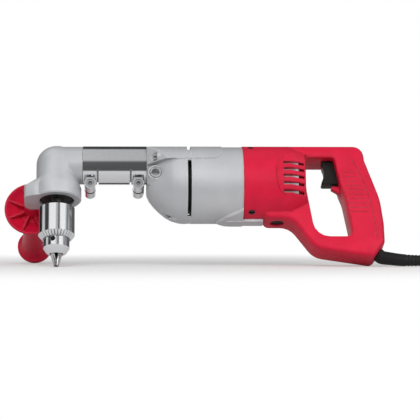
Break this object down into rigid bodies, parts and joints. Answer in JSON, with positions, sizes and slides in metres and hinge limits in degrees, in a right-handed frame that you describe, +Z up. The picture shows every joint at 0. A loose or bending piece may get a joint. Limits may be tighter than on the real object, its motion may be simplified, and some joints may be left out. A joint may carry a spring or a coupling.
{
  "type": "right angle drill",
  "caption": "Electric right angle drill with a red D-handle, light grey cast gear case and motor housing, chrome coupling sleeve, key chuck and red side handle",
  "frame": {"origin": "on the ground under the middle of the tool's bounding box, without its lead", "axes": "+X along the drive tube towards the D-handle, +Z up, -Y the side the picture shows; the tool leans back on its jaw tip, side handle rim and D-handle heel"},
  "size_m": [0.6637, 0.2138, 0.1437],
  "materials": {
    "cast_alloy": null,
    "red_plastic": null,
    "black_plastic": null,
    "chrome_steel": null,
    "bare_steel": null,
    "black_steel": null,
    "gear_steel": null,
    "core_steel": null,
    "copper": null,
    "carbon": null,
    "brass": null,
    "cord_rubber": null
  },
  "bodies": {
    "drill": {"gear_case": "cast_alloy", "bearing_plate": "cast_alloy", "motor_housing": "cast_alloy", "field_core": "core_steel", "field_coils": "copper", "brush_holders": "brass", "carbon_brushes": "carbon", "brush_caps": "black_plastic", "gear_case_screws": "bare_steel", "handle_shell_near": "red_plastic", "handle_shell_far": "red_plastic", "handle_screws": "black_steel", "shell_bolts": "bare_steel", "switch_body": "black_plastic", "cord_clamp": "black_plastic", "spindle_bearings": "bare_steel", "counter_bearings": "bare_steel", "armature_bearings": "bare_steel", "coupling_sleeve": "chrome_steel", "clamp_screws": "bare_steel", "cord_boot": "cord_rubber", "cord_lead": "cord_rubber", "cord_coil": "cord_rubber", "cord_tie": "cord_rubber", "plug_body": "cord_rubber", "plug_blades": "brass"},
    "armature": {"armature_shaft": "bare_steel", "armature_core": "core_steel", "armature_coils": "copper", "commutator": "copper", "cooling_fan": "black_plastic", "armature_pinion": "gear_steel"},
    "countershaft": {"countershaft": "bare_steel", "counter_gear": "gear_steel", "counter_pinion": "gear_steel"},
    "spindle": {"drill_spindle": "bare_steel", "spindle_gear": "gear_steel"},
    "head": {"head_casting": "cast_alloy", "head_bearings": "bare_steel", "head_seal": "cord_rubber", "side_handle": "red_plastic", "side_handle_stud": "bare_steel"},
    "drive": {"drive_shaft": "bare_steel", "bevel_pinion": "gear_steel"},
    "chuck": {"chuck_spindle": "bare_steel", "bevel_gear": "gear_steel", "chuck_body": "chrome_steel"},
    "chuck_ring": {"chuck_sleeve": "chrome_steel", "chuck_nut": "bare_steel"},
    "jaw_1": {"chuck_jaw_1": "bare_steel"},
    "jaw_2": {"chuck_jaw_2": "bare_steel"},
    "jaw_3": {"chuck_jaw_3": "bare_steel"},
    "trigger": {"trigger": "black_plastic"}
  },
  "joints": [
    {"name": "armature_spin", "type": "hinge", "parent": "drill", "child": "armature", "pos_m": [-0.0048, -0.0526, 0.09618], "axis": [1, 0, 0], "continuous": true},
    {"name": "countershaft_spin", "type": "hinge", "parent": "drill", "child": "countershaft", "pos_m": [-0.025, -0.03408, 0.10373], "axis": [1, 0, 0], "continuous": true},
    {"name": "spindle_spin", "type": "hinge", "parent": "drill", "child": "spindle", "pos_m": [-0.055, -0.04257, 0.12017], "axis": [1, 0, 0], "continuous": true},
    {"name": "head_swivel", "type": "hinge", "parent": "drill", "child": "head", "pos_m": [-0.131, -0.04257, 0.12017], "axis": [1, 0, 0], "range_deg": [-180, 180]},
    {"name": "drive_spin", "type": "hinge", "parent": "head", "child": "drive", "pos_m": [-0.1313, -0.04257, 0.12017], "axis": [1, 0, 0], "continuous": true},
    {"name": "chuck_spin", "type": "hinge", "parent": "head", "child": "chuck", "pos_m": [-0.162, -0.06032, 0.07773], "axis": [0, 0.3858, 0.9226], "continuous": true},
    {"name": "chuck_ring_turn", "type": "hinge", "parent": "chuck", "child": "chuck_ring", "pos_m": [-0.162, -0.06417, 0.06851], "axis": [0, 0.3858, 0.9226], "range_deg": [0, 3240]},
    {"name": "jaw_1_slide", "type": "slide", "parent": "chuck", "child": "jaw_1", "axis": [0, 0.5692, 0.8222], "range_m": [0, 0.02741]},
    {"name": "jaw_2_slide", "type": "slide", "parent": "chuck", "child": "jaw_2", "axis": [-0.1801, 0.2815, 0.9425], "range_m": [0, 0.02741]},
    {"name": "jaw_3_slide", "type": "slide", "parent": "chuck", "child": "jaw_3", "axis": [0.1801, 0.2815, 0.9425], "range_m": [0, 0.02741]},
    {"name": "trigger_pull", "type": "slide", "parent": "drill", "child": "trigger", "axis": [1, 0, 0], "range_m": [0, 0.007], "stiffness_N_per_m": 900, "springref_m": -0.005}
  ],
  "couplings": [
    {"joint": "countershaft_spin", "follows": "armature_spin", "ratio": -0.19048},
    {"joint": "spindle_spin", "follows": "armature_spin", "ratio": 0.061224},
    {"joint": "drive_spin", "follows": "armature_spin", "ratio": 0.061224},
    {"joint": "chuck_spin", "follows": "armature_spin", "ratio": 0.040816},
    {"joint": "jaw_1_slide", "follows": "chuck_ring_turn", "m_per_rad": 0.00048481},
    {"joint": "jaw_2_slide", "follows": "chuck_ring_turn", "m_per_rad": 0.00048481},
    {"joint": "jaw_3_slide", "follows": "chuck_ring_turn", "m_per_rad": 0.00048481}
  ]
}
